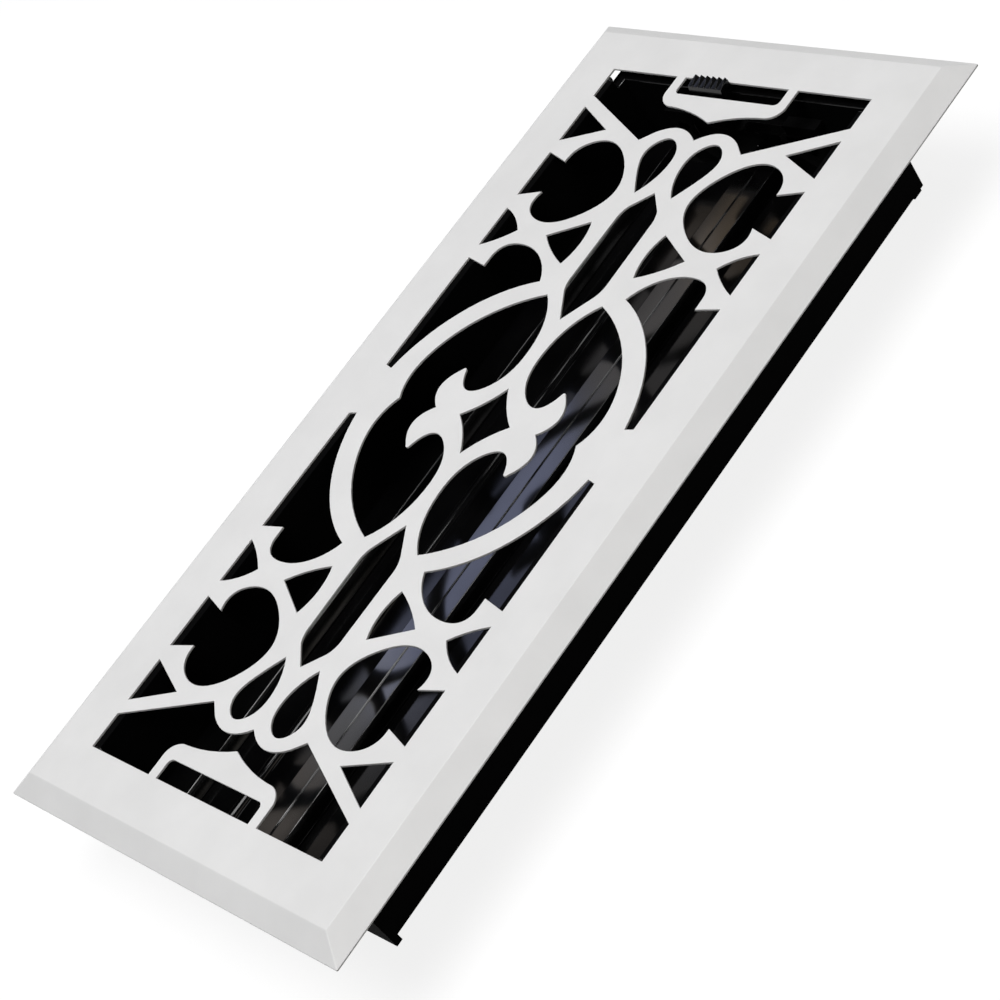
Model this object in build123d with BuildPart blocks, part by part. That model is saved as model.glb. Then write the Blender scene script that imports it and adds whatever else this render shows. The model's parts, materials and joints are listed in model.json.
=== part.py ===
from build123d import *
import os
from math import atan2, cos, radians, sin

# Floor register: a pierced scroll face plate over a damper box with two lever-driven blades.
# Millimetres. X runs along the length towards the lever's end, Y across the width, Z up out of
# the face. The origin is the middle of the floor plane, on which the plate's rim rests.

# Face plate, one pressed and painted sheet
window_length = 246.3  # pierced field
window_width = 95.8
end_border = 19.725  # plain face and bevel round the pierced field
side_border = 20.35
face_height = 4.8  # top of the face above the floor
sheet = 0.8
bevel_width = 6.1
rim_lip = 0.5  # short upright edge below the bevel
arris_radius = 0.5
lever_slot_width = 6.2
lever_slot_radius = 1.7

# The scroll is drawn on a grid that fills a quarter of the pierced field
grid_columns = 123
grid_rows = 48

# Damper box, one moulding
end_overhang = 1.85  # box ends beyond the pierced field
side_inset = 0.4  # box sides within it
box_depth = 30.0  # bottom of the side walls below the floor
end_wall = 2.2
side_wall = 1.8
web = 1.8  # ledges, centre beam and blade seats
flange_width = 5.0
flange_thickness = 1.5
end_drop = 3.0  # top of the end walls below the sheet
end_lip = 1.5  # lip round the end walls' tops, beyond the ends
side_lip = 2.3  # and beyond the sides
lip_return = 6.5  # how far it runs back along the sides
lip_thickness = 0.8
corner_relief = 5.6  # side walls lowered at the lever's end
flange_relief = 4.3  # flanges end this far short of it
skirt_drop = 2.4  # end walls below the side walls
skirt_inset = 6.0  # skirt short of the sides, at the lever's end
lug_length = 3.4
lug_drop = 0.7
lug_inset = 1.3
ledge_depth = 20.5  # top of the ledges below the floor
ledge_width = 9.9
beam_width = 11.5
beam_groove = 0.6
seat_slope = 1.05  # sideways run of the sloping blade seats
seat_slope_height = 4.15
seat_height = 7.5

# Blades and their cranks
blade_thickness = 1.5
blade_gap = 0.35  # blade edge to its seat
blade_end_gap = 0.5
barrel_radius = 2.0
journal_radius = 1.5
journal_clearance = 0.05
journal_recess = 0.4
tang_width = 3.2
tang_clearance = 0.02
crank_thickness = 2.5
crank_hub_radius = 4.0
crank_tip_radius = 3.0
crank_turn = 90.0  # degrees from closed to open
pin_radius = 1.5
pin_recess = 0.3

# Thumb lever on its slide
lever_stroke = 15.8  # closed to open
slide_thickness = 2.0
slide_gap = 0.3
fork_gap = 0.65  # pin to fork on each side, for the pin's path is not quite the lever's
fork_prong = 2.5
bar_height = 4.5
neck_width = 10.0
grip_length = 12.4
grip_width = 4.35
grip_lean = 0.4  # front of the grip leans back
grip_rise = 1.65  # grip above the face, at its front
grip_slope = 0.85  # and how much more at its back
slot_run = 5.1  # slot beyond the grip at each end of the stroke
groove_count = 7  # thumb grooves, which leave six ribs between them
groove_pitch = 2.2
groove_width = 2.0  # at the back
groove_start = 0.25  # depth at the front
guide_gap = 0.3
guide_thickness = 1.5
guide_lip = 1.2
guide_lip_height = 1.8
guide_length = 12.0
guide_clearance = 0.8  # to the parts of the slide that pass by

# Clips under the plate that hold the box's flanges
clip_sheet = 1.0
clip_length = 12.0
clip_margin = 3.2  # clip's foot to the bevel
clip_reach = 3.2  # lip under the flange
clip_gap = 0.1
clip_spacing = 140.0

# Places that follow from the sizes
face_length = window_length + 2 * end_border
face_width = window_width + 2 * side_border
box_length = window_length + 2 * end_overhang
box_width = window_width - 2 * side_inset
lever_slot_length = lever_stroke + grip_length + 2 * slot_run
underside = face_height - sheet
inner_end = box_length / 2 - end_wall
inner_side = box_width / 2 - side_wall
end_top = underside - end_drop
ledge_top = -ledge_depth
slope_bottom = ledge_top - seat_slope_height
seat_bottom = ledge_top - seat_height
seat_inner = beam_width / 2 + seat_slope
seat_outer = inner_side - ledge_width - seat_slope
pivot_y = (seat_inner + seat_outer) / 2
pivot_z = slope_bottom - blade_thickness / 2
blade_width = seat_outer - seat_inner - 2 * blade_gap
lever_rest = lever_stroke / 2
crank_rest = radians(crank_turn / 2)
crank_radius = lever_rest / sin(crank_rest)
slide_outer = inner_end - slide_gap
slide_inner = slide_outer - slide_thickness
crank_outer = slide_inner - slide_gap
crank_inner = crank_outer - crank_thickness
blade_end = crank_inner - blade_end_gap
blade_start = blade_end_gap - inner_end
journal_end = box_length / 2 - journal_recess
fork_half = pin_radius + fork_gap
fork_top = pivot_z + crank_radius + fork_half
fork_bottom = pivot_z + crank_radius * cos(crank_rest) - fork_half
bar_top = fork_top + bar_height

os.makedirs("parts", exist_ok=True)


def save(piece, name):
    piece.part.label = name
    export_step(piece.part, f"parts/{name}.step")


def scroll(*points):
    # grid points of the drawing, laid out over the window
    column = window_length / 2 / grid_columns
    row = window_width / 2 / grid_rows
    return [(x * column, y * row) for x, y in points]


# Face plate: bevelled pan, hollow below, pierced by the scroll
bevel_rise = face_height - rim_lip
sheet_run = sheet / sin(atan2(bevel_rise, bevel_width))
hollow_low = sheet_run - bevel_width * rim_lip / bevel_rise
hollow_high = sheet_run + bevel_width * (underside - rim_lip) / bevel_rise

with BuildPart() as face_plate:
    with BuildSketch():
        Rectangle(face_length, face_width)
    extrude(amount=rim_lip)
    with BuildSketch(Plane.XY.offset(rim_lip)):
        Rectangle(face_length, face_width)
    with BuildSketch(Plane.XY.offset(face_height)):
        Rectangle(face_length - 2 * bevel_width, face_width - 2 * bevel_width)
    loft()
    fillet(face_plate.edges().group_by(Axis.Z)[-1], arris_radius)
    with BuildSketch():
        Rectangle(face_length - 2 * hollow_low, face_width - 2 * hollow_low)
    with BuildSketch(Plane.XY.offset(underside)):
        Rectangle(face_length - 2 * hollow_high, face_width - 2 * hollow_high)
    loft(mode=Mode.SUBTRACT)

    with BuildSketch(Plane.XY.offset(underside)):
        # wing beside the heart, against the window's long edge
        with BuildLine():
            wing_edge = Polyline(*scroll((47.2, 40.4), (48.9, grid_rows), (8.8, grid_rows), (8.1, 45.3)))
            Spline(*scroll((8.1, 45.3), (25, 39.3), (38, 28.9), (45.9, 16.4)))
            wing_front = Spline(*scroll((45.9, 16.4), (54.9, 25), (56.7, 31.6), (55.4, 38), (51.4, 40.3)))
            Line(wing_front @ 1, wing_edge @ 0)
        make_face()
        # heart, half of it, with the curl that hangs in its middle
        with BuildLine():
            heart_back = Spline(*scroll((0, 34.4), (8, 36.7), (22, 33), (34, 23.5), (42.3, 10.5)))
            Spline(*scroll((42.3, 10.5), (33, 4.4), (23.5, 2.6), (13, 5), (7.5, 12), (13.4, 18.6)))
            ThreePointArc(*scroll((13.4, 18.6), (13.9, 19.2), (13.4, 19.9)))
            heart_curl = Spline(*scroll((13.4, 19.9), (5.8, 23.3), (0, 19.4)))
            Line(heart_curl @ 1, heart_back @ 0)
        make_face()
        # hollow diamond in the very middle, a quarter of it
        with BuildLine():
            diamond_side = ThreePointArc(*scroll((0, 9.8), (4.6, 4.7), (11.2, 0)))
            Polyline(diamond_side @ 1, (0, 0), diamond_side @ 0)
        make_face()
        # long opening on the axis, half of it
        with BuildLine():
            long_start = Line(*scroll((35.4, 0), (44.2, 5.6)))
            near_shoulder = ThreePointArc(*scroll((44.2, 5.6), (46.6, 6.6), (50, 6.9)))
            far_shoulder = ThreePointArc(*scroll((70, 6.7), (73.6, 6.3), (75.6, 5.4)))
            Line(near_shoulder @ 1, far_shoulder @ 0)
            long_end = Line(*scroll((75.6, 5.4), (81.5, 0)))
            Line(long_end @ 1, long_start @ 0)
        make_face()
        # bowed dart at the window's edge
        with BuildLine():
            dart_right = ThreePointArc(*scroll((67.9, grid_rows), (65.3, 42.6), (61, 37.9)))
            dart_left = ThreePointArc(*scroll((61, 37.9), (56.6, 43), (53.6, grid_rows)))
            Line(dart_left @ 1, dart_right @ 0)
        make_face()
        # tent between the dart and the long opening
        with BuildLine():
            ThreePointArc(*scroll((52.9, 13.9), (60.6, 12.4), (68.4, 14)))
            Line(*scroll((68.4, 14), (61.2, 26.4)))
            ThreePointArc(*scroll((61.2, 26.4), (56.3, 20.2), (52.9, 13.9)))
        make_face()
        # spade standing on the window's edge
        with BuildLine():
            spade = Spline(
                *scroll((75.5, 39.9), (69, 39.5), (65.4, 32.5), (70.4, 19.6), (79, 14)),
                *scroll((90.5, 18.6), (96.8, 30.5), (93.6, 37.7), (87.2, 39.9)),
            )
            Polyline(spade @ 1, *scroll((89.7, grid_rows), (73, grid_rows)), spade @ 0)
        make_face()
        # plain triangle near the corner
        with BuildLine():
            Polyline(*scroll((94.3, grid_rows), (107.8, grid_rows), (100.5, 33.7)), close=True)
        make_face()
        # petal beside the axis
        with BuildLine():
            Spline(
                *scroll((80.4, 6.9), (89, 12.2), (96.5, 13.6), (100.7, 8.9)),
                *scroll((97.4, 3.7), (91.4, 2.5), (86, 3.7), (80.4, 6.9)),
            )
        make_face()
        # end opening round the lever's frame, half of it
        with BuildLine():
            lobe = Spline(*scroll((101.1, 0), (104.7, 8.4), (102, 15.5)))
            Polyline(
                lobe @ 1,
                *scroll((98.6, 19.2), (112.3, grid_rows), (grid_columns, grid_rows)),
                *scroll((grid_columns, 22.5), (116.2, 22.5)),
            )
            ThreePointArc(*scroll((116.2, 22.5), (113.3, 20.9), (112, 18.2)))
            frame_side = Spline(*scroll((112, 18.2), (111, 9.5), (107.9, 0)))
            Line(frame_side @ 1, lobe @ 0)
        make_face()
        mirror(about=Plane.XZ)
        mirror(about=Plane.YZ)
    extrude(amount=sheet, mode=Mode.SUBTRACT)

    # slots for the thumb lever, one at each end
    with BuildSketch(Plane.XY.offset(underside)) as lever_slots:
        with Locations(((window_length - lever_slot_width) / 2, 0)):
            Rectangle(lever_slot_width, lever_slot_length)
        fillet(lever_slots.vertices().group_by(Axis.X)[0], lever_slot_radius)
        mirror(about=Plane.YZ)
    extrude(amount=sheet, mode=Mode.SUBTRACT)
save(face_plate, "face_plate")


# Damper box: walls, flanges, ledges and centre beam with the blade seats, bearings, slide guides
hook_bottom = bar_top + guide_gap
hook_top = hook_bottom + guide_thickness
hook_front = slide_inner - slide_gap
hook_start = lever_rest + neck_width / 2 + guide_clearance
rest_half = pivot_y - lever_rest - fork_half - fork_prong - guide_clearance
seat_back = seat_slope / 2

with BuildPart() as damper_box:
    # the section across the box, from end wall to end wall
    with BuildSketch(Plane.YZ):
        with BuildLine():
            Polyline(
                (inner_side, -box_depth),
                (box_width / 2, -box_depth),
                (box_width / 2, underside),
                (inner_side, underside),
                close=True,
            )
        make_face()
        with BuildLine():
            Polyline(
                (inner_side, ledge_top),
                (seat_outer + seat_slope, ledge_top),
                (seat_outer, slope_bottom),
                (seat_outer, seat_bottom),
                (seat_outer + web, seat_bottom),
                (seat_outer + web, slope_bottom),
                (seat_outer + web + seat_back, ledge_top - web),
                (inner_side, ledge_top - web),
                close=True,
            )
        make_face()
        with BuildLine():
            Polyline(
                (0, ledge_top - beam_groove / 2),
                (beam_groove / 2, ledge_top),
                (beam_width / 2, ledge_top),
                (seat_inner, slope_bottom),
                (seat_inner, seat_bottom),
                (seat_inner - web, seat_bottom),
                (seat_inner - web, slope_bottom),
                (seat_inner - web - seat_back, ledge_top - web),
                (0, ledge_top - web),
                close=True,
            )
        make_face()
        mirror(about=Plane.YZ)
    extrude(amount=inner_end, both=True)

    # end walls with their skirts, the lever's one narrower between the lugs
    wall_height = end_top + box_depth
    skirt_height = wall_height + skirt_drop
    with Locations((inner_end, 0, end_top)):
        Box(end_wall, box_width, wall_height, align=(Align.MIN, Align.CENTER, Align.MAX))
        Box(end_wall, box_width - 2 * skirt_inset, skirt_height, align=(Align.MIN, Align.CENTER, Align.MAX))
    with Locations((-inner_end, 0, end_top)):
        Box(end_wall, box_width, skirt_height, align=(Align.MAX, Align.CENTER, Align.MAX))

    # side walls drop to the end wall's height at the lever's end
    with Locations((box_length / 2, 0, end_top)):
        relief_align = (Align.MAX, Align.CENTER, Align.MIN)
        Box(corner_relief, box_width, end_drop, align=relief_align, mode=Mode.SUBTRACT)

    # lip round the top of each end wall, with a short return along the sides
    with BuildSketch(Plane.XY.offset(end_top)):
        with Locations((box_length / 2 + end_lip, 0)):
            Rectangle(end_lip + lip_return, box_width + 2 * side_lip, align=(Align.MAX, Align.CENTER))
        with Locations((box_length / 2, 0)):
            Rectangle(lip_return, box_width, align=(Align.MAX, Align.CENTER), mode=Mode.SUBTRACT)
        mirror(about=Plane.YZ)
    extrude(amount=-lip_thickness)

    # flanges under the plate, and a lug below each side wall at the lever's end
    flange_length = box_length - flange_relief
    flange_x = -flange_relief / 2
    flange_y = (box_width + flange_width) / 2
    lug_x = box_length / 2 - lug_inset - lug_length / 2
    lug_y = (box_width - side_wall) / 2
    with Locations((flange_x, flange_y, underside), (flange_x, -flange_y, underside)):
        Box(flange_length, flange_width, flange_thickness, align=(Align.CENTER, Align.CENTER, Align.MAX))
    with Locations((lug_x, lug_y, -box_depth), (lug_x, -lug_y, -box_depth)):
        Box(lug_length, side_wall, lug_drop, align=(Align.CENTER, Align.CENTER, Align.MAX))

    # hooks that hold the slide's bar to the end wall, and a rest under the bar between the forks
    for side in (1, -1):
        with BuildSketch(Plane.XZ.offset(-side * hook_start)):
            with BuildLine():
                Polyline(
                    (inner_end, hook_top),
                    (hook_front - guide_lip, hook_top),
                    (hook_front - guide_lip, bar_top - guide_lip_height),
                    (hook_front, bar_top - guide_lip_height),
                    (hook_front, hook_bottom),
                    (inner_end, hook_bottom),
                    close=True,
                )
            make_face()
        extrude(amount=-side * guide_length)
    with Locations((inner_end, 0, fork_top - guide_gap)):
        Box(
            slide_gap + slide_thickness,
            2 * rest_half,
            guide_thickness,
            align=(Align.MAX, Align.CENTER, Align.MAX),
        )

    # bearing holes of the blades, through both end walls
    with BuildSketch(Plane.YZ):
        with Locations((pivot_y, pivot_z), (-pivot_y, pivot_z)):
            Circle(journal_radius + journal_clearance)
    extrude(amount=box_length / 2, both=True, mode=Mode.SUBTRACT)
save(damper_box, "damper_box")


# Damper blades, closed: a flat blade with a barrel, a square tang for the crank and two journals
for side, hand in ((1, "left"), (-1, "right")):
    with BuildPart() as blade:
        with BuildSketch(Plane.YZ.offset(blade_start)):
            with Locations((side * pivot_y, pivot_z)):
                Rectangle(blade_width, blade_thickness)
                Circle(barrel_radius)
        extrude(amount=blade_end - blade_start)
        with BuildSketch(Plane.YZ.offset(blade_end)):
            with Locations((side * pivot_y, pivot_z)):
                Rectangle(tang_width, tang_width)
        extrude(amount=crank_outer - blade_end)
        with BuildSketch(Plane.YZ.offset(-journal_end)):
            with Locations((side * pivot_y, pivot_z)):
                Circle(journal_radius)
        extrude(amount=2 * journal_end)
    save(blade, f"{hand}_blade")


# Cranks: an arm on the blade's tang with a pin that the slide's fork drives
for side, hand in ((1, "left"), (-1, "right")):
    hub_y = side * pivot_y
    pin_y = hub_y + crank_radius * sin(crank_rest)
    pin_z = pivot_z + crank_radius * cos(crank_rest)
    with BuildPart() as crank:
        with BuildSketch(Plane.YZ.offset(crank_inner)) as arm:
            with Locations((hub_y, pivot_z)):
                Circle(crank_hub_radius)
            with Locations((pin_y, pin_z)):
                Circle(crank_tip_radius)
            make_hull()
            with Locations((hub_y, pivot_z)):
                bore = tang_width + 2 * tang_clearance
                Rectangle(bore, bore, mode=Mode.SUBTRACT)
        extrude(amount=crank_thickness)
        with BuildSketch(Plane.YZ.offset(crank_outer)):
            with Locations((pin_y, pin_z)):
                Circle(pin_radius)
        extrude(amount=slide_outer - pin_recess - crank_outer)
    save(crank, f"{hand}_crank")


# Thumb lever: bar with two forks inside the box, neck through the slot, grooved grip on top
grip_front = slide_outer - grip_width
grip_front_top = face_height + grip_rise
grip_back_top = grip_front_top + grip_slope
groove_bottom = grip_front_top - groove_start
groove_rise = grip_back_top - groove_bottom

with BuildPart() as thumb_lever:
    with BuildSketch(Plane.YZ.offset(slide_inner)):
        bar_half = pivot_y + fork_half + fork_prong
        with Locations((lever_rest, (bar_top + fork_bottom) / 2)):
            Rectangle(2 * bar_half, bar_top - fork_bottom)
        with Locations((lever_rest, fork_bottom)):
            between = 2 * (pivot_y - fork_half - fork_prong)
            Rectangle(between, fork_top - fork_bottom, align=(Align.CENTER, Align.MIN), mode=Mode.SUBTRACT)
        with Locations((lever_rest + pivot_y, fork_bottom), (lever_rest - pivot_y, fork_bottom)):
            fork_depth = fork_top - fork_bottom
            Rectangle(2 * fork_half, fork_depth, align=(Align.CENTER, Align.MIN), mode=Mode.SUBTRACT)
        with Locations((lever_rest, bar_top)):
            Rectangle(neck_width, face_height - bar_top, align=(Align.CENTER, Align.MIN))
    extrude(amount=slide_thickness)

    # the grip, level with the face below and sloping up towards the plate's end on top
    with BuildSketch(Plane.XZ.offset(-lever_rest)):
        with BuildLine():
            Polyline(
                (grip_front, face_height),
                (slide_outer, face_height),
                (slide_outer, grip_back_top),
                (grip_front + grip_lean, grip_front_top),
                close=True,
            )
        make_face()
    extrude(amount=grip_length / 2, both=True)

    # thumb grooves with level bottoms, so that they deepen towards the back
    with BuildSketch(Plane.YZ.offset(grip_front)):
        with Locations((lever_rest, groove_bottom)):
            with GridLocations(groove_pitch, 0, groove_count, 1):
                Polygon((0, 0), (groove_width / 2, groove_rise), (-groove_width / 2, groove_rise), align=None)
    extrude(amount=2 * grip_width, mode=Mode.SUBTRACT)
save(thumb_lever, "thumb_lever")


# Retaining clips: four alike, foot on the plate's underside and lip under the box's flange
clip_edge = box_width / 2 + flange_width + clip_gap
clip_outer = face_width / 2 - hollow_high - clip_margin
lip_top = underside - flange_thickness - clip_gap

with BuildPart() as retaining_clips:
    for middle in (-clip_spacing / 2, clip_spacing / 2):
        with BuildSketch(Plane.YZ.offset(middle - clip_length / 2)):
            with BuildLine():
                Polyline(
                    (clip_edge, underside),
                    (clip_edge, lip_top),
                    (clip_edge - clip_reach, lip_top),
                    (clip_edge - clip_reach, lip_top - clip_sheet),
                    (clip_edge + clip_sheet, lip_top - clip_sheet),
                    (clip_edge + clip_sheet, underside - clip_sheet),
                    (clip_outer, underside - clip_sheet),
                    (clip_outer, underside),
                    close=True,
                )
            make_face()
            mirror(about=Plane.YZ)
        extrude(amount=clip_length)
save(retaining_clips, "retaining_clips")
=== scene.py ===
import json
import math

import bmesh
import bpy
import numpy as np
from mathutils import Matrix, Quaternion, Vector

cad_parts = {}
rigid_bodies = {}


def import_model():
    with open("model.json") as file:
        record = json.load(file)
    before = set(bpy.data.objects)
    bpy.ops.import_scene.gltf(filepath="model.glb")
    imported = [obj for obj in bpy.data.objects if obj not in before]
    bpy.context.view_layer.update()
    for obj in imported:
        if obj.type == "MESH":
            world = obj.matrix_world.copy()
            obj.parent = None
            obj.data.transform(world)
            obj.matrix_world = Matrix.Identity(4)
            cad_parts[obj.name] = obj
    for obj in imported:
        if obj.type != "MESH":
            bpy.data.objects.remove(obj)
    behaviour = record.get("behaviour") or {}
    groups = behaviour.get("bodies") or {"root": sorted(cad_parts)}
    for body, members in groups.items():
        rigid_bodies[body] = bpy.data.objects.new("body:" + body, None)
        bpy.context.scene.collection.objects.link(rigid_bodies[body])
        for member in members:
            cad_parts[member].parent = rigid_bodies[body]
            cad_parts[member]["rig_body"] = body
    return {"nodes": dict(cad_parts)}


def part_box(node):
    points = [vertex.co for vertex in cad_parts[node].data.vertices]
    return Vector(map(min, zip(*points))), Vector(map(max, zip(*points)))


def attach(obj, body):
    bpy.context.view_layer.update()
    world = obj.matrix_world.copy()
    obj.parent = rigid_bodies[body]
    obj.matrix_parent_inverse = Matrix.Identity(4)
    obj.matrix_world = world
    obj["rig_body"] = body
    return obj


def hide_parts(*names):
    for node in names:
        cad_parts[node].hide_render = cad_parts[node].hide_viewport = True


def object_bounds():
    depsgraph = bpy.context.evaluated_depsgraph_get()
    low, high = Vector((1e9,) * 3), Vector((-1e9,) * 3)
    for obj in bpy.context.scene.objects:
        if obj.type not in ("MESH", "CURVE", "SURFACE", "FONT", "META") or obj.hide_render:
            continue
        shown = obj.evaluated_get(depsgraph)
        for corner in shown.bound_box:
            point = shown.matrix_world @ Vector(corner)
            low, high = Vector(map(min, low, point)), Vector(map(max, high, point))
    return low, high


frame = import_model()
cadLow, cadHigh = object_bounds()
mm = 0.001


# Nodes that the finishes share

noiseLow, noiseHigh = 0.3, 0.7  # most of a noise lies between these


# empty material with one shader, and Object coordinates for its patterns
def startFinish(name):
    finish = bpy.data.materials.new(name)
    finish.use_nodes = True
    tree = finish.node_tree
    tree.nodes.clear()
    shader = tree.nodes.new("ShaderNodeBsdfPrincipled")
    output = tree.nodes.new("ShaderNodeOutputMaterial")
    tree.links.new(shader.outputs["BSDF"], output.inputs["Surface"])
    coords = tree.nodes.new("ShaderNodeTexCoord").outputs["Object"]
    return finish, tree, shader, coords


# noise with blobs about `size` metres across, drawn out along an axis by `stretch`
def grain(tree, coords, size, detail, stretch=(1, 1, 1)):
    mapping = tree.nodes.new("ShaderNodeMapping")
    mapping.inputs["Scale"].default_value = [1 / s for s in stretch]
    tree.links.new(coords, mapping.inputs["Vector"])
    noise = tree.nodes.new("ShaderNodeTexNoise")
    noise.inputs["Scale"].default_value = 1 / size
    noise.inputs["Detail"].default_value = detail
    tree.links.new(mapping.outputs["Vector"], noise.inputs["Vector"])
    return noise.outputs["Fac"]


# spreads the middle of a noise over low to high
def spread(tree, value, low, high):
    ranged = tree.nodes.new("ShaderNodeMapRange")
    ranged.inputs["From Min"].default_value = noiseLow
    ranged.inputs["From Max"].default_value = noiseHigh
    ranged.inputs["To Min"].default_value = low
    ranged.inputs["To Max"].default_value = high
    tree.links.new(value, ranged.inputs["Value"])
    return ranged.outputs["Result"]


# two tints mixed by a noise
def mottle(tree, value, dark, light):
    ramp = tree.nodes.new("ShaderNodeValToRGB")
    ramp.color_ramp.elements[0].position = noiseLow
    ramp.color_ramp.elements[0].color = (*dark, 1)
    ramp.color_ramp.elements[1].position = noiseHigh
    ramp.color_ramp.elements[1].color = (*light, 1)
    tree.links.new(value, ramp.inputs["Fac"])
    return ramp.outputs["Color"]


# bump of a noise, `depth` metres from low to high, laid over an earlier bump
def relief(tree, value, depth, under=None):
    bump = tree.nodes.new("ShaderNodeBump")
    bump.inputs["Strength"].default_value = 1.0
    bump.inputs["Distance"].default_value = depth
    tree.links.new(value, bump.inputs["Height"])
    if under is not None:
        tree.links.new(under, bump.inputs["Normal"])
    return bump.outputs["Normal"]


# Finishes

paintLook = {
    "dark": (0.735, 0.735, 0.732),
    "light": (0.775, 0.775, 0.772),
    "cloud": 14 * mm,
    "peel": 1.1 * mm,  # orange peel of the powder coat
    "peelDepth": 0.010 * mm,
    "speck": 0.3 * mm,
    "speckDepth": 0.006 * mm,
    "sheen": (0.40, 0.52),  # roughness, from and to
    "ior": 1.42,
}


# clouded white, with the peel and finer specks in its relief
def powderCoat():
    finish, tree, shader, coords = startFinish("white_powder_coat")
    cloud = grain(tree, coords, paintLook["cloud"], detail=3)
    peel = grain(tree, coords, paintLook["peel"], detail=1)
    speck = grain(tree, coords, paintLook["speck"], detail=2)
    tint = mottle(tree, cloud, paintLook["dark"], paintLook["light"])
    tree.links.new(tint, shader.inputs["Base Color"])
    tree.links.new(spread(tree, speck, *paintLook["sheen"]), shader.inputs["Roughness"])
    skin = relief(tree, peel, paintLook["peelDepth"])
    skin = relief(tree, speck, paintLook["speckDepth"], under=skin)
    tree.links.new(skin, shader.inputs["Normal"])
    shader.inputs["IOR"].default_value = paintLook["ior"]
    return finish


glossLook = {
    "dark": (0.0016, 0.0016, 0.0018),
    "light": (0.0026, 0.0026, 0.0028),
    "flow": 26 * mm,  # slow waves of the moulded skin
    "drawn": (3, 1, 1),
    "flowDepth": 0.030 * mm,
    "haze": 9 * mm,
    "sheen": {"box": (0.09, 0.13), "blade": (0.09, 0.13), "edge": (0.12, 0.17)},
    "specular": {"box": 1.0, "blade": 0.36, "edge": 1.0},
}


# polished black plastic, hazy in places and a little wavy along the length
def glossMoulding(part):
    finish, tree, shader, coords = startFinish(f"black_gloss_{part}")
    flow = grain(tree, coords, glossLook["flow"], detail=1, stretch=glossLook["drawn"])
    haze = grain(tree, coords, glossLook["haze"], detail=2)
    tint = mottle(tree, haze, glossLook["dark"], glossLook["light"])
    tree.links.new(tint, shader.inputs["Base Color"])
    tree.links.new(spread(tree, haze, *glossLook["sheen"][part]), shader.inputs["Roughness"])
    tree.links.new(relief(tree, flow, glossLook["flowDepth"]), shader.inputs["Normal"])
    shader.inputs["Specular IOR Level"].default_value = glossLook["specular"][part]
    return finish


mattLook = {
    "dark": (0.0022, 0.0022, 0.0023),
    "light": (0.0040, 0.0040, 0.0042),
    "spark": 0.22 * mm,  # spark-eroded mould texture
    "sparkDepth": {"lever": 0.0015 * mm, "box": 0.008 * mm},
    "sheen": {"lever": (0.09, 0.13), "box": (0.55, 0.70)},
    "specular": {"lever": 0.55, "box": 0.006},
}


# black plastic with a grain, which on the lever is much finer and shinier than on the box
def mattMoulding(part):
    finish, tree, shader, coords = startFinish(f"black_matt_{part}")
    spark = grain(tree, coords, mattLook["spark"], detail=3)
    tint = mottle(tree, spark, mattLook["dark"], mattLook["light"])
    tree.links.new(tint, shader.inputs["Base Color"])
    tree.links.new(spread(tree, spark, *mattLook["sheen"][part]), shader.inputs["Roughness"])
    tree.links.new(relief(tree, spark, mattLook["sparkDepth"][part]), shader.inputs["Normal"])
    shader.inputs["Specular IOR Level"].default_value = mattLook["specular"][part]
    return finish


steelLook = {
    "dark": (0.46, 0.46, 0.47),
    "light": (0.60, 0.60, 0.61),
    "line": 0.16 * mm,  # rolling lines of the strip
    "drawn": (30, 1, 1),
    "lineDepth": 0.004 * mm,
    "sheen": (0.26, 0.42),
}


# bright steel strip with fine lines along its length
def springSteel():
    finish, tree, shader, coords = startFinish("zinc_spring_steel")
    line = grain(tree, coords, steelLook["line"], detail=3, stretch=steelLook["drawn"])
    tint = mottle(tree, line, steelLook["dark"], steelLook["light"])
    tree.links.new(tint, shader.inputs["Base Color"])
    tree.links.new(spread(tree, line, *steelLook["sheen"]), shader.inputs["Roughness"])
    tree.links.new(relief(tree, line, steelLook["lineDepth"]), shader.inputs["Normal"])
    shader.inputs["Metallic"].default_value = 1.0
    return finish


# Meshes that the pieces share

easeSet = {
    "mergeGap": 0.002 * mm,
    "flatAngle": math.radians(0.4),  # facets flatter than this are one face
    "sharpAngle": math.radians(28),
    "stillSharp": math.radians(38),  # edges that the rounding leaves like this stay crisp
    "segments": 3,
    "share": 0.38,  # part of a narrow face that one rounded edge may take
}


# copy of a CAD node's mesh with its doubled points merged
def mergedCopy(nodeName):
    mesh = frame["nodes"][nodeName].data.copy()
    work = bmesh.new()
    work.from_mesh(mesh)
    bmesh.ops.remove_doubles(work, verts=work.verts, dist=easeSet["mergeGap"])
    work.to_mesh(mesh)
    work.free()
    return mesh


# quads between the rows of a grid whose rows are closed rings
def ringQuads(rows, columns):
    index = np.arange(rows * columns).reshape(rows, columns)
    after = np.roll(index, -1, axis=1)
    return np.stack([index[:-1], index[1:], after[1:], after[:-1]], axis=-1).reshape(-1, 4)


# gives a mesh one finish in place of the CAD node's own
def coat(mesh, finish):
    mesh.materials.clear()
    mesh.materials.append(finish)


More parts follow.
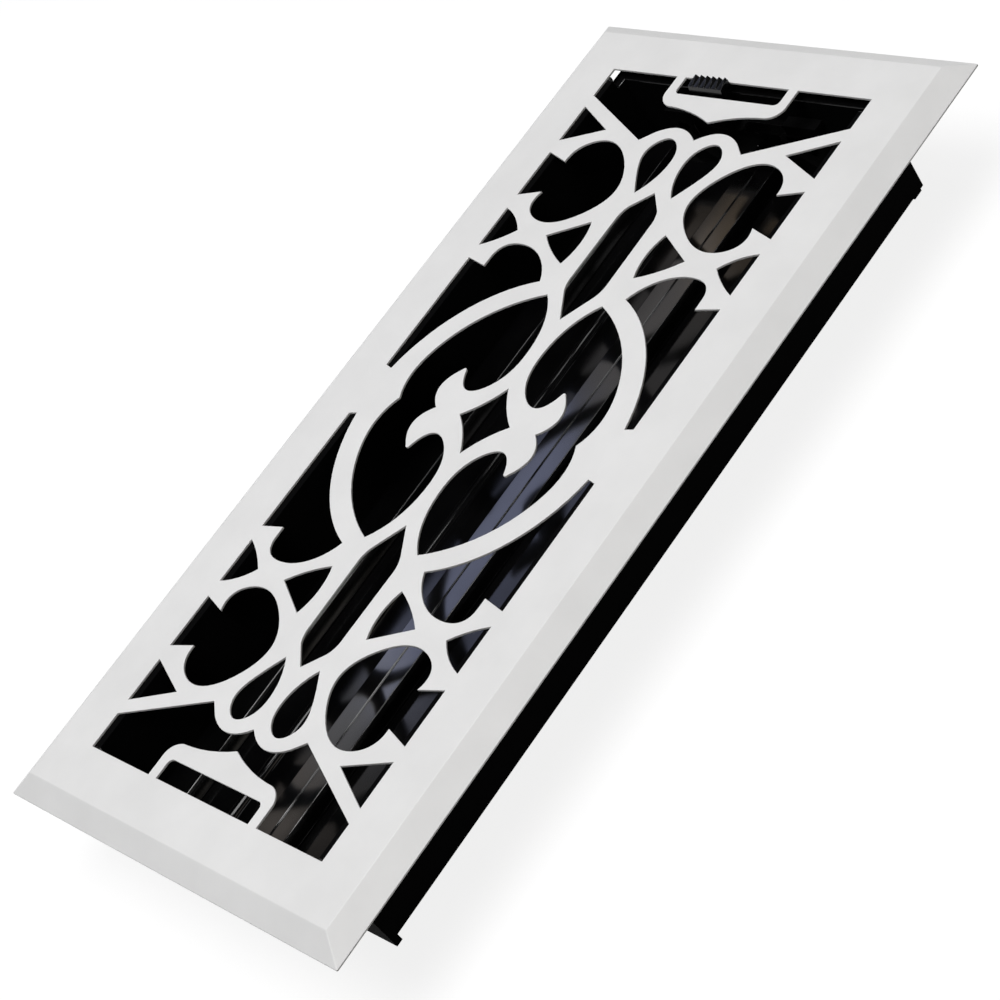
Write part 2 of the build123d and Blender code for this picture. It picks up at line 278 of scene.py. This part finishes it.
# the mesh with its weighted edges rounded by `ease` metres, and the new faces in its first finish; where two
# roundings meet at an angle that they leave sharp, the edge between them is crisp
def roundedEdges(mesh, ease):
    holder = bpy.data.objects.new("rounding", mesh)
    bpy.context.scene.collection.objects.link(holder)
    bevel = holder.modifiers.new("softEdge", "BEVEL")
    bevel.limit_method = "WEIGHT"
    bevel.width = ease
    bevel.segments = easeSet["segments"]
    bevel.use_clamp_overlap = False
    bevel.miter_outer = "MITER_ARC"
    bevel.material = 0
    result = holder.evaluated_get(bpy.context.evaluated_depsgraph_get())
    rounded = bpy.data.meshes.new_from_object(result)
    bpy.data.objects.remove(holder)
    work = bmesh.new()
    work.from_mesh(rounded)
    for edge in work.edges:
        edge.smooth = edge.is_manifold and edge.calc_face_angle() < easeSet["stillSharp"]
    work.to_mesh(rounded)
    work.free()
    return rounded


# puts a mesh in the scene in its CAD node's place
def dress(mesh, pieceName, nodeName):
    mesh.polygons.foreach_set("use_smooth", np.ones(len(mesh.polygons), bool))
    piece = bpy.data.objects.new(pieceName, mesh)
    bpy.context.scene.collection.objects.link(piece)
    evenShade = piece.modifiers.new("evenShade", "WEIGHTED_NORMAL")
    evenShade.keep_sharp = True
    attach(piece, frame["nodes"][nodeName]["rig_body"])
    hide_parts(nodeName)
    print("dressed", pieceName, len(mesh.polygons), "faces")


# Painted plate: same form as the CAD plate, with the paint's soft edges along the rim and every opening

plateSet = {
    "bevelWidth": 6.1 * mm,
    "lip": 0.5 * mm,  # upright edge below the bevel
    "sheet": 0.8 * mm,
    "arrisRound": 0.9 * mm,  # where the face turns into the bevel
    "lipRound": 0.22 * mm,
    "hemRound": 0.10 * mm,  # lower edge of the rim
    "hollowRound": 0.40 * mm,
    "cornerRound": 0.35 * mm,  # mitred corners, seen from above
    "openingRound": 0.16 * mm,
    "apron": 1.5 * mm,  # strip of flat face that goes with the bevel
    "steps": 5,
    "mitreLimit": 0.4,  # keeps the mitres short at sharp corners
    "sharpTurn": math.cos(math.radians(25)),  # an outline that turns more has a corner
}


# section with rounded corners: from the tangent point p before a corner an arc
# p + r (sin a along + (1 - cos a) inward), with a from 0 to the corner's turn
def roundedSection(corners, radii, steps):
    legs = np.diff(corners, axis=0)
    legs /= np.linalg.norm(legs, axis=1, keepdims=True)
    along, onward = legs[:-1], legs[1:]
    turn = np.arccos((along * onward).sum(axis=1))[:, None]
    inward = (onward - np.cos(turn) * along) / np.sin(turn)
    start = corners[1:-1] - radii[:, None] * np.tan(turn / 2) * along
    angle = (turn * np.linspace(0, 1, steps))[..., None]
    arcs = np.sin(angle) * along[:, None] + (1 - np.cos(angle)) * inward[:, None]
    arcs = start[:, None] + radii[:, None, None] * arcs
    return np.concatenate([corners[:1], arcs.reshape(-1, 2), corners[-1:]])


# pan: the section (outward, height) carried round the outline, each of its points on a rectangle
# of its own with the same small corner radius
def panShell(section, halfLength, halfWidth):
    radius, steps = plateSet["cornerRound"], plateSet["steps"]
    angle = (np.arange(4)[:, None] * math.pi / 2 + np.linspace(0, math.pi / 2, steps)).ravel()
    towardsX = np.repeat([1, -1, -1, 1], steps)
    towardsY = np.repeat([1, 1, -1, -1], steps)
    outward, height = section[:, :1], section[:, 1:]
    x = towardsX * (halfLength - radius + outward) + radius * np.cos(angle)
    y = towardsY * (halfWidth - radius + outward) + radius * np.sin(angle)
    return np.stack([x, y, np.broadcast_to(height, x.shape)], axis=-1)


# outlines of the openings: edges that only one facet of the CAD plate's flat top uses, away from the
# bevel, as pairs of point numbers with the metal on their left
def openingOutlines(mesh, halfLength, halfWidth):
    points = np.empty(len(mesh.vertices) * 3, np.float32)
    mesh.vertices.foreach_get("co", points)
    points = points.reshape(-1, 3).astype(float)
    mesh.calc_loop_triangles()
    facets = np.empty(len(mesh.loop_triangles) * 3, np.int32)
    mesh.loop_triangles.foreach_get("vertices", facets)
    facets = facets.reshape(-1, 3).astype(int)
    top = points[:, 2].max()
    flat = facets[(points[facets, 2] > top - easeSet["mergeGap"]).all(axis=1)]
    edges = np.concatenate([flat[:, [0, 1]], flat[:, [1, 2]], flat[:, [2, 0]]])
    ways = edges @ np.array([len(points), 1])
    backways = edges @ np.array([1, len(points)])
    edges = edges[~np.isin(ways, backways)]
    reach = np.array([halfLength, halfWidth]) - 2 * plateSet["bevelWidth"]
    inside = (np.abs(points[edges[:, 0], :2]) < reach).all(axis=1)
    return points[:, :2], edges[inside]


# opening walls: a profile (quarter round, wall, quarter round) carried along the outlines, moved at
# each outline point along the mitre of its two edges into the metal
def openingWalls(points, edges, top, underside):
    start, end = edges.T
    along = points[end] - points[start]
    along /= np.linalg.norm(along, axis=1, keepdims=True)
    intoMetal = along[:, ::-1] * [-1, 1]
    arriving = np.zeros_like(points)
    arriving[end] = intoMetal
    agree = (arriving[start] * intoMetal).sum(axis=1)
    mitre = (arriving[start] + intoMetal) / np.maximum(1 + agree, plateSet["mitreLimit"])[:, None]
    angle = np.linspace(0, math.pi / 2, plateSet["steps"])
    radius = plateSet["openingRound"]
    inset = radius * (1 - np.concatenate([np.sin(angle), np.cos(angle)]))
    drop = radius * (1 - np.cos(angle))
    height = np.concatenate([top - drop, underside + drop[::-1]])
    flatPlaces = points[start] + inset[:, None, None] * mitre
    heights = np.broadcast_to(height[:, None, None], (*flatPlaces.shape[:2], 1))
    number = np.zeros(len(points), int)
    number[start] = np.arange(len(start))
    return np.concatenate([flatPlaces, heights], axis=-1), number[end], agree < plateSet["sharpTurn"]


def paintedPlate(finish):
    low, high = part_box("face_plate")
    halfLength, halfWidth = high.x, high.y
    top, underside = high.z, high.z - plateSet["sheet"]
    rise = top - plateSet["lip"]
    sheetRun = plateSet["sheet"] / math.sin(math.atan2(rise, plateSet["bevelWidth"]))
    slant = plateSet["bevelWidth"] / rise
    hollowLow = sheetRun - slant * plateSet["lip"]
    hollowHigh = sheetRun + slant * (underside - plateSet["lip"])
    corners = np.array([
        (-plateSet["bevelWidth"] - plateSet["apron"], top),
        (-plateSet["bevelWidth"], top),
        (0, plateSet["lip"]),
        (0, low.z),
        (-hollowLow, low.z),
        (-hollowHigh, underside),
        (-hollowHigh - plateSet["apron"], underside),
    ])
    rounds = ("arrisRound", "lipRound", "hemRound", "hemRound", "hollowRound")
    radii = np.array([plateSet[name] for name in rounds])
    section = roundedSection(corners, radii, plateSet["steps"])
    shell = panShell(section, halfLength, halfWidth)
    mesh = mergedCopy("face_plate")
    points, edges = openingOutlines(mesh, halfLength, halfWidth)
    walls, follow, sharp = openingWalls(points, edges, top, underside)

    rings, around = shell.shape[:2]
    levels, count = walls.shape[:2]
    first = rings * around
    wall = first + np.arange(levels * count).reshape(levels, count)
    wallQuads = np.stack([wall[:-1], wall[1:], wall[1:, follow], wall[:-1, follow]], axis=-1).reshape(-1, 4)
    quads = np.concatenate([ringQuads(rings, around), wallQuads])
    places = np.concatenate([shell.reshape(-1, 3), walls.reshape(-1, 3)])
    mesh.clear_geometry()
    mesh.from_pydata(places.tolist(), [], quads.tolist())

    # the two flats, between the pan's first or last ring and the openings' outlines
    work = bmesh.new()
    work.from_mesh(mesh)
    work.verts.ensure_lookup_table()
    ring = np.arange(around)
    for row, level, up in ((0, 0, 1), (rings - 1, levels - 1, -1)):
        border = np.stack([ring, np.roll(ring, -1)], axis=1) + row * around
        outline = np.stack([wall[level], wall[level, follow]], axis=1)
        pairs = np.concatenate([border, outline]).tolist()
        bounds = [work.edges.get((work.verts[a], work.verts[b])) for a, b in pairs]
        filled = bmesh.ops.triangle_fill(work, use_beauty=True, edges=bounds, normal=(0, 0, up))
        faces = [item for item in filled["geom"] if isinstance(item, bmesh.types.BMFace)]
        bmesh.ops.reverse_faces(work, faces=[face for face in faces if face.normal.z * up < 0])
    work.to_mesh(mesh)
    work.free()

    # upright edges stay crisp where an outline has a corner
    ends = np.empty(len(mesh.edges) * 2, np.int32)
    mesh.edges.foreach_get("vertices", ends)
    ends = ends.reshape(-1, 2) - first
    upright = (ends >= 0).all(axis=1) & (ends[:, 0] % count == ends[:, 1] % count)
    crisp = mesh.attributes.new("sharp_edge", "BOOLEAN", "EDGE")
    crisp.data.foreach_set("value", upright & sharp[ends[:, 0] % count])
    coat(mesh, finish)
    dress(mesh, "painted_plate", "face_plate")


# Damper blades: swept bars, the blade with its barrel, the tang in the crank and a journal at each end

bladeSet = {
    "thickness": 1.5 * mm,
    "start": -122.3 * mm,
    "end": 117.2 * mm,
    "tangEnd": 120.2 * mm,
    "tang": 3.2 * mm,
    "journal": 1.5 * mm,
    "seated": 0.5 * mm,  # bars reach this far into one another
    "edgeRound": 0.3 * mm,
    "endRound": 0.15 * mm,
    "steps": 5,
    "barrelSteps": 16,
    "journalSteps": 48,
}


# bar: an outline (y, z), anticlockwise from +X, carried along X and drawn in by a quarter round at both ends
def sweptBar(outline, startX, endX):
    along = np.roll(outline, -1, axis=0) - outline
    along /= np.linalg.norm(along, axis=1, keepdims=True)
    outward = along[:, ::-1] * [1, -1]
    before = np.roll(outward, 1, axis=0)
    agree = (before * outward).sum(axis=1)
    mitre = (before + outward) / (1 + agree)[:, None]
    angle = np.linspace(0, math.pi / 2, bladeSet["steps"])
    inset = bladeSet["endRound"] * (1 - np.sin(angle))
    setback = bladeSet["endRound"] * (1 - np.cos(angle))
    inset = np.concatenate([inset, inset[::-1]])
    x = np.concatenate([startX + setback, endX - setback[::-1]])
    across = outline - inset[:, None, None] * mitre
    return np.concatenate([np.broadcast_to(x[:, None, None], (*across.shape[:2], 1)), across], axis=-1)


# blade outline: one rounded blade edge, then the upper half of the barrel, then both again after a half turn
def bladeOutline(halfWidth, barrel):
    half = bladeSet["thickness"] / 2
    meet = math.sqrt(barrel**2 - half**2)
    edge = np.array([(meet, -half), (halfWidth, -half), (halfWidth, half), (meet, half)])
    edge = roundedSection(edge, np.full(2, bladeSet["edgeRound"]), bladeSet["steps"])
    lean = math.atan2(half, meet)
    angle = np.linspace(lean, math.pi - lean, bladeSet["barrelSteps"])[1:-1]
    bulge = barrel * np.stack([np.cos(angle), np.sin(angle)], axis=1)
    return np.concatenate([edge, bulge, -edge, -bulge])


def damperBlade(hand, finish):
    low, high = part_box(f"{hand}_blade")
    pivot = np.array([(low.y + high.y) / 2, (low.z + high.z) / 2])
    turn = np.linspace(0, 2 * math.pi, bladeSet["journalSteps"], endpoint=False)
    journal = bladeSet["journal"] * np.stack([np.cos(turn), np.sin(turn)], axis=1)
    tang = bladeSet["tang"] / 2 * np.array([(1, -1), (1, 1), (-1, 1), (-1, -1)])
    blade = bladeOutline((high.y - low.y) / 2, (high.z - low.z) / 2)
    seated = bladeSet["seated"]
    bars = (
        sweptBar(pivot + blade, bladeSet["start"], bladeSet["end"]),
        sweptBar(pivot + tang, bladeSet["end"] - seated, bladeSet["tangEnd"]),
        sweptBar(pivot + journal, bladeSet["tangEnd"] - seated, high.x),
        sweptBar(pivot + journal, low.x, bladeSet["start"] + seated),
    )
    places, faces, first = [], [], 0
    for bar in bars:
        rows, columns = bar.shape[:2]
        cap = first + np.arange(columns)
        faces += (first + ringQuads(rows, columns)[:, ::-1]).tolist()
        faces += [cap[::-1].tolist(), (cap + (rows - 1) * columns).tolist()]
        places.append(bar.reshape(-1, 3))
        first += rows * columns
    mesh = bpy.data.meshes.new(f"{hand}_damper_blade")
    mesh.from_pydata(np.concatenate(places).tolist(), [], faces)
    work = bmesh.new()
    work.from_mesh(mesh)
    for edge in work.edges:
        edge.smooth = edge.calc_face_angle() < easeSet["sharpAngle"]
    work.to_mesh(mesh)
    work.free()
    coat(mesh, finish)
    dress(mesh, mesh.name, f"{hand}_blade")


# Box, lever, cranks and clips: the CAD solids with coplanar facets joined and their edges rounded

finishes = {
    "boxGloss": glossMoulding("box"),
    "boxEdge": glossMoulding("edge"),
    "bladeGloss": glossMoulding("blade"),
    "leverMatt": mattMoulding("lever"),
    "boxMatt": mattMoulding("box"),
    "clipSteel": springSteel(),
}

crankLook = {"slot": "black_matte", "finish": "boxMatt", "ease": 0.15 * mm, "shortest": 0.3 * mm}
easedPieces = {
    "damper_box": {
        "piece": "moulded_box",
        "slot": "black_gloss",
        "finish": "boxEdge",
        "ease": 0.32 * mm,
        "shortest": 0.3 * mm,
        "inner": (118 * mm, 45 * mm),  # edges farther out stay crisp, apart from the lips of the end walls
        "glossBelow": -19 * mm,  # only what looks up from down here is glossy
        "walls": "boxMatt",
        "seats": "boxGloss",
    },
    "thumb_lever": {
        "piece": "ribbed_lever",
        "slot": "black_matte",
        "finish": "leverMatt",
        "ease": 0.07 * mm,
        "shortest": 0,
    },
    "left_crank": {"piece": "left_crank_arm", **crankLook},
    "right_crank": {"piece": "right_crank_arm", **crankLook},
    "retaining_clips": {
        "piece": "spring_clips",
        "slot": "spring_steel",
        "finish": "clipSteel",
        "ease": 0.12 * mm,
        "shortest": 0.3 * mm,
    },
}


# how far the narrower of an edge's two faces reaches away from it
def roomBeside(edge):
    start = edge.verts[0].co
    along = (edge.verts[1].co - start).normalized()
    return min(
        max((corner.co - start).cross(along).length for corner in face.verts)
        for face in edge.link_faces
    )


# copy of a CAD node with its sharp edges weighted for rounding: less on narrow faces, and not at all on edges
# shorter than `shortest`, such as those of small round holes, or on those outside `inner`
def easedCopy(nodeName, look):
    reachX, reachY = look.get("inner", (math.inf, math.inf))
    mesh = mergedCopy(nodeName)
    work = bmesh.new()
    work.from_mesh(mesh)
    bmesh.ops.dissolve_limit(work, angle_limit=easeSet["flatAngle"], verts=work.verts, edges=work.edges)
    weight = work.edges.layers.float.new("bevel_weight_edge")
    for edge in work.edges:
        if edge.is_manifold and edge.calc_face_angle() > easeSet["sharpAngle"]:
            middle = (edge.verts[0].co + edge.verts[1].co) / 2
            inside = abs(middle.x) < reachX and abs(middle.y) < reachY
            endLip = abs(middle.x) > reachX and middle.z > 0
            if edge.calc_length() > look["shortest"] and (inside or endLip):
                edge[weight] = min(1, easeSet["share"] * roomBeside(edge) / look["ease"])
    work.to_mesh(mesh)
    work.free()
    return mesh


# the rounded edges keep the piece's own finish; ledges, beam and blade seats are glossy, the walls dull
def dullWalls(mesh, look):
    count = len(mesh.polygons)
    middle, normal = np.empty(3 * count, np.float32), np.empty(3 * count, np.float32)
    mesh.polygons.foreach_get("center", middle)
    mesh.polygons.foreach_get("normal", normal)
    looksUp = normal[2::3] > math.sin(easeSet["flatAngle"])
    glossy = looksUp & (middle[2::3] < look["glossBelow"])
    mesh.materials.append(finishes[look["walls"]])
    mesh.materials.append(finishes[look["seats"]])
    mesh.polygons.foreach_set("material_index", 1 + glossy.astype(np.int32))


paintedPlate(powderCoat())
for hand in ("left", "right"):
    damperBlade(hand, finishes["bladeGloss"])
for nodeName, look in easedPieces.items():
    mesh = easedCopy(nodeName, look)
    coat(mesh, finishes[look["finish"]])
    if "walls" in look:
        dullWalls(mesh, look)
    dress(roundedEdges(mesh, look["ease"]), look["piece"], nodeName)


# Studio

floorSet = {
    "flat": 2.2,  # radius of the flat floor
    "bend": 0.8,  # radius of the sweep up to the wall
    "wall": 1.3,  # top of the wall
    "rings": 48,
    "crowding": 1.6,  # power that draws the rings together near the part
    "spokes": 96,
    "tint": (0.20, 0.20, 0.20),
    "shade": (0.18, 0.18, 0.18),
    "patch": 0.09,
    "roughness": 0.9,
    "specular": 0.1,
    "lift": 0.85,  # brings the lit floor up to white
}


# floor and wall in one: a profile (flat, quarter bend, upright) turned about the vertical through the part
def studioFloor():
    bendLength = floorSet["bend"] * math.pi / 2
    length = floorSet["flat"] + bendLength + floorSet["wall"] - floorSet["bend"]
    along = np.linspace(0, 1, floorSet["rings"]) ** floorSet["crowding"] * length
    turn = np.clip((along - floorSet["flat"]) / floorSet["bend"], 0, math.pi / 2)
    upright = np.maximum(along - floorSet["flat"] - bendLength, 0)
    radius = np.minimum(along, floorSet["flat"]) + floorSet["bend"] * np.sin(turn)
    height = floorSet["bend"] * (1 - np.cos(turn)) + upright + cadLow.z
    angle = np.linspace(0, 2 * math.pi, floorSet["spokes"], endpoint=False)
    points = np.stack(
        [
            np.outer(radius, np.cos(angle)),
            np.outer(radius, np.sin(angle)),
            np.outer(height, np.ones_like(angle)),
        ],
        axis=-1,
    )
    quads = ringQuads(*points.shape[:2])
    mesh = bpy.data.meshes.new("studio_floor")
    mesh.from_pydata(points.reshape(-1, 3).tolist(), [], quads.tolist())
    work = bmesh.new()
    work.from_mesh(mesh)
    bmesh.ops.remove_doubles(work, verts=work.verts, dist=mm)
    work.to_mesh(mesh)
    work.free()
    mesh.polygons.foreach_set("use_smooth", np.ones(len(mesh.polygons), bool))

    finish, tree, shader, coords = startFinish("pale_floor")
    patch = grain(tree, coords, floorSet["patch"], detail=2)
    tint = mottle(tree, patch, floorSet["shade"], floorSet["tint"])
    tree.links.new(tint, shader.inputs["Base Color"])
    shader.inputs["Roughness"].default_value = floorSet["roughness"]
    shader.inputs["Specular IOR Level"].default_value = floorSet["specular"]
    shader.inputs["Emission Color"].default_value = (1, 1, 1, 1)
    ray = tree.nodes.new("ShaderNodeLightPath")  # the lift shows, but casts no light on the part
    seen = ray.outputs["Is Camera Ray"]
    for kind in ("Is Glossy Ray", "Is Transmission Ray"):
        either = tree.nodes.new("ShaderNodeMath")
        either.operation = "MAXIMUM"
        tree.links.new(seen, either.inputs[0])
        tree.links.new(ray.outputs[kind], either.inputs[1])
        seen = either.outputs["Value"]
    lift = tree.nodes.new("ShaderNodeMath")
    lift.operation = "MULTIPLY"
    lift.inputs[1].default_value = floorSet["lift"]
    tree.links.new(seen, lift.inputs[0])
    tree.links.new(lift.outputs["Value"], shader.inputs["Emission Strength"])
    mesh.materials.append(finish)
    floor = bpy.data.objects.new("studio_floor", mesh)
    bpy.context.scene.collection.objects.link(floor)
    print("laid the floor,", len(mesh.polygons), "faces")


studioFloor()

panelRow = {"rise": 38.6, "away": 1.5}
panelHeight = 0.22


# one lamp of the row of small panels
def panel(bearing, width, power, tint):
    return {**panelRow, "bearing": bearing, "size": (width, panelHeight), "power": power, "tint": tint}


# softbox overhead, a strip high over the lever's end, a warm softbox at the near side, and the panels, warm
# at both ends of their row and cool in the middle, whose mirror image shows in the black mouldings
lampSet = {
    "overhead": {
        "bearing": 245,
        "rise": 81.8,
        "away": 1.65,
        "size": (1.0, 1.3),
        "power": 27.4,
        "tint": (0.998, 0.998, 1),
    },
    "sideStrip": {
        "bearing": 90,
        "rise": 66,
        "away": 1.7,
        "size": (0.6, 0.28),
        "power": 1.7,
        "tint": (1, 1, 1),
    },
    "nearFill": {
        "bearing": 180,
        "rise": 28,
        "away": 1.5,
        "size": (0.8, 0.5),
        "power": 1.3,
        "tint": (1, 0.9, 0.76),
    },
    "amberPanel": panel(38.4, 0.12, 0.034, (1, 0.74, 0.48)),
    "creamPanel": panel(32.5, 0.18, 0.062, (1, 0.95, 0.94)),
    "bluePanel": panel(20.7, 0.29, 0.290, (0.61, 0.67, 1)),
    "paperPanel": panel(12.4, 0.115, 0.059, (0.96, 0.96, 1)),
    "strawPanel": panel(7.2, 0.09, 0.035, (1, 0.88, 0.79)),
}
worldLight = (0.06, 0.06, 0.062)


# bearing is measured from +Y towards +X, rise above the floor, both in degrees; every lamp faces the origin
def softLamps():
    for name, lamp in lampSet.items():
        bearing, rise = math.radians(lamp["bearing"]), math.radians(lamp["rise"])
        flat = math.cos(rise)
        outward = Vector((math.sin(bearing) * flat, math.cos(bearing) * flat, math.sin(rise)))
        light = bpy.data.lights.new(name, "AREA")
        light.shape = "RECTANGLE"
        light.size, light.size_y = lamp["size"]
        light.energy = lamp["power"]
        light.color = lamp["tint"]
        holder = bpy.data.objects.new(name, light)
        holder.location = outward * lamp["away"]
        holder.rotation_euler = (-outward).to_track_quat("-Z", "Y").to_euler()
        bpy.context.scene.collection.objects.link(holder)

    world = bpy.data.worlds.new("studio")
    world.use_nodes = True
    world.node_tree.nodes["Background"].inputs["Color"].default_value = (*worldLight, 1)
    bpy.context.scene.world = world
    print("lit by", len(lampSet), "lamps")


softLamps()

cameraSet = {
    "place": (-211.72 * mm, -462.72 * mm, 396.13 * mm),
    "aim": (-18.35 * mm, -18.04 * mm, 0),
    "roll": math.radians(-38.31),
    "lens": 88.6,  # these two in millimetres
    "sensor": 36,
    "nearest": 10 * mm,
}


def photoCamera():
    lens = bpy.data.cameras.new("photoCamera")
    lens.lens = cameraSet["lens"]
    lens.sensor_width = cameraSet["sensor"]
    lens.clip_start = cameraSet["nearest"]
    camera = bpy.data.objects.new("photoCamera", lens)
    place = Vector(cameraSet["place"])
    look = (Vector(cameraSet["aim"]) - place).to_track_quat("-Z", "Y")
    camera.location = place
    camera.rotation_mode = "QUATERNION"
    camera.rotation_quaternion = look @ Quaternion((0, 0, 1), cameraSet["roll"])
    bpy.context.scene.collection.objects.link(camera)
    bpy.context.scene.camera = camera
    print("camera", round(place.length, 3), "m from the part's origin")


photoCamera()
bpy.context.scene.view_settings.view_transform = "Standard"
